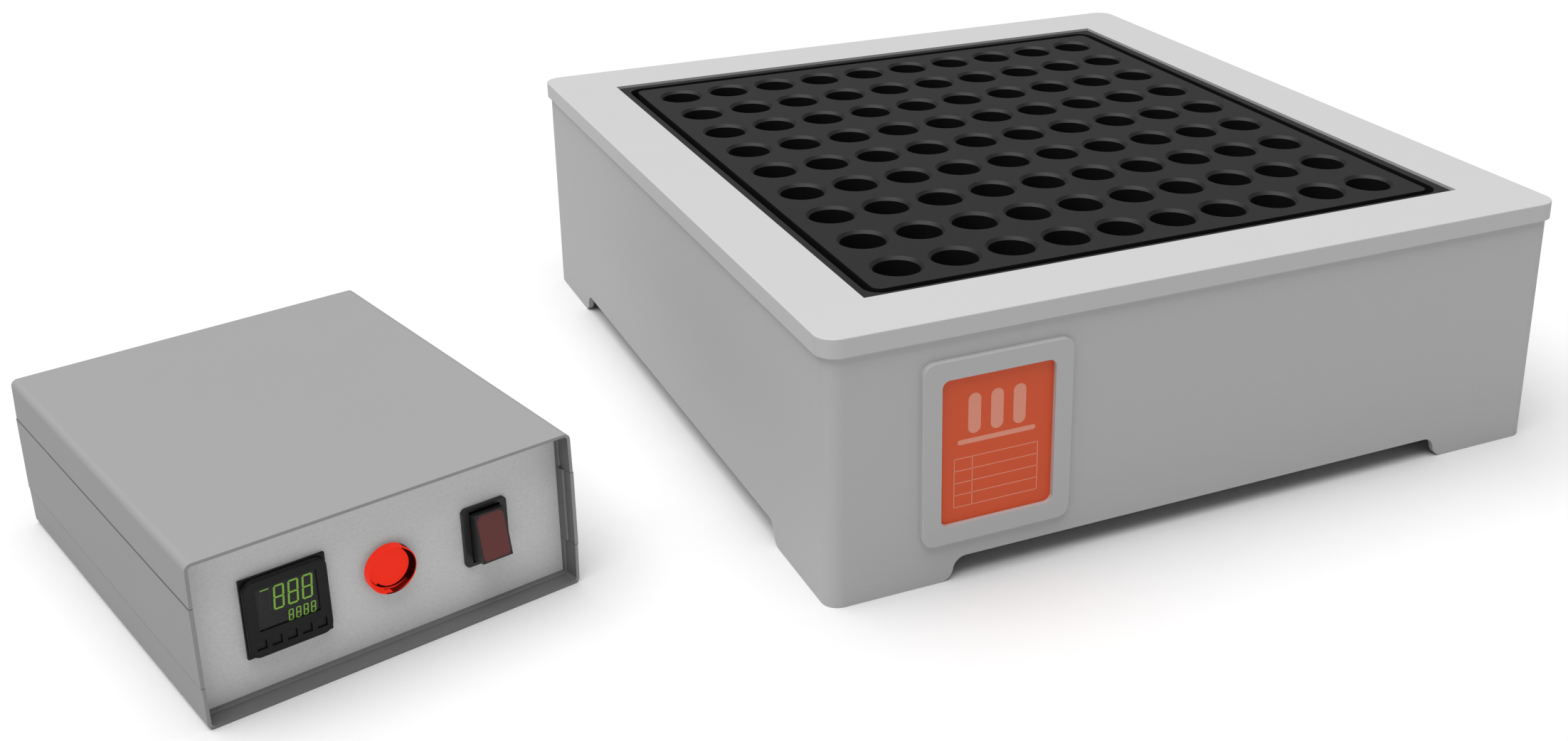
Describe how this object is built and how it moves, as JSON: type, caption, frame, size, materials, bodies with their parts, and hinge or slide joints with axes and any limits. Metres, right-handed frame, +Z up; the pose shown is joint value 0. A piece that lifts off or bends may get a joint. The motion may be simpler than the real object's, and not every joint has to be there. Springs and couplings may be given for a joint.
{
  "type": "block digester",
  "caption": "Block digester: bored heating block in a sheet housing with a thick rim and a framed label, and a separate control box with a controller, red button and rocker switch",
  "frame": {"origin": "On the floor, at the middle of the outline of the digester and its control box", "axes": "+X to the right along the digester's front, +Y to the rear, +Z up"},
  "size_m": [0.9492, 0.5856, 0.1736],
  "materials": {
    "housing_paint": "Light grey powder coat with a fine grain",
    "rim_paint": "Pale grey smooth coat",
    "block_metal": "Dark hard-anodised aluminium, bright where the wells are chamfered",
    "black_sheet": "Black enamelled sheet",
    "zinc_steel": "Zinc-plated steel",
    "heater_mica": "Mica heater face",
    "wool_board": "Pressed insulation board",
    "probe_steel": "Bright stainless tube",
    "terminal_ceramic": "Glazed ceramic",
    "frame_grey": "Grey moulded frame",
    "label_orange": null,
    "black_plastic": "Black moulded plastic",
    "contact_brass": "Brass contacts",
    "cover_grey": "Light grey moulded cover",
    "strip_grey": "Light grey moulded strip",
    "panel_grey": "Grey panel with a fine grain",
    "window_dark": "Dark clear window",
    "board_green": "Circuit board",
    "key_black": "Dark soft keys",
    "button_red": "Bright red plastic",
    "lens_red": "Dull translucent red",
    "fin_aluminium": "Extruded aluminium"
  },
  "bodies": {
    "root": {"housing_shell": "housing_paint", "top_rim": "rim_paint", "rim_screws": "zinc_steel", "well_block": "block_metal", "block_top_plate": "block_metal", "block_floor": "block_metal", "block_surround": "black_sheet", "heating_elements": "heater_mica", "clamp_plate": "zinc_steel", "clamp_bolts": "zinc_steel", "side_insulation": "wool_board", "base_insulation": "wool_board", "support_plate": "zinc_steel", "temperature_probe": "probe_steel", "safety_probe": "probe_steel", "support_pillars": "zinc_steel", "base_plate": "zinc_steel", "base_screws": "zinc_steel", "ceramic_terminals": "terminal_ceramic", "label_frame": "frame_grey", "label_plate": "label_orange", "heater_socket": "black_plastic", "sensor_socket": "black_plastic", "digester_contacts": "contact_brass", "top_cover": "cover_grey", "bottom_cover": "cover_grey", "cover_screws": "zinc_steel", "left_strip": "strip_grey", "right_strip": "strip_grey", "front_panel": "panel_grey", "rear_panel": "panel_grey", "controller_bezel": "black_plastic", "display_window": "window_dark", "controller_case": "black_plastic", "display_board": "board_green", "controller_clamp": "black_plastic", "button_collar": "button_red", "button_nut": "black_plastic", "contact_block": "black_plastic", "rocker_bezel": "black_plastic", "rocker_tabs": "contact_brass", "heat_sink": "fin_aluminium", "relay": "terminal_ceramic", "terminal_strip": "black_plastic", "power_inlet": "black_plastic", "inlet_blades": "contact_brass", "fuse_holder": "black_plastic", "output_socket": "black_plastic", "sensor_inlet": "black_plastic", "box_contacts": "contact_brass"},
    "key_1": {"key_1": "key_black"},
    "key_2": {"key_2": "key_black"},
    "key_3": {"key_3": "key_black"},
    "key_4": {"key_4": "key_black"},
    "key_5": {"key_5": "key_black"},
    "button_cap": {"button_cap": "button_red"},
    "rocker": {"rocker_paddle": "black_plastic", "rocker_lens": "lens_red"}
  },
  "joints": [
    {"name": "key_1_press", "type": "slide", "parent": "root", "child": "key_1", "axis": [-0.2645, 0.9644, 0], "range_m": [0, 0.0008], "stiffness_N_per_m": 300},
    {"name": "key_2_press", "type": "slide", "parent": "root", "child": "key_2", "axis": [-0.2645, 0.9644, 0], "range_m": [0, 0.0008], "stiffness_N_per_m": 300},
    {"name": "key_3_press", "type": "slide", "parent": "root", "child": "key_3", "axis": [-0.2645, 0.9644, 0], "range_m": [0, 0.0008], "stiffness_N_per_m": 300},
    {"name": "key_4_press", "type": "slide", "parent": "root", "child": "key_4", "axis": [-0.2645, 0.9644, 0], "range_m": [0, 0.0008], "stiffness_N_per_m": 300},
    {"name": "key_5_press", "type": "slide", "parent": "root", "child": "key_5", "axis": [-0.2645, 0.9644, 0], "range_m": [0, 0.0008], "stiffness_N_per_m": 300},
    {"name": "button_press", "type": "slide", "parent": "root", "child": "button_cap", "axis": [-0.2645, 0.9644, 0], "range_m": [0, 0.003], "stiffness_N_per_m": 400},
    {"name": "rocker_swing", "type": "hinge", "parent": "root", "child": "rocker", "pos_m": [-0.23457, -0.19268, 0.0476], "axis": [0.9644, 0.2645, 0], "range_deg": [0, 26]}
  ]
}
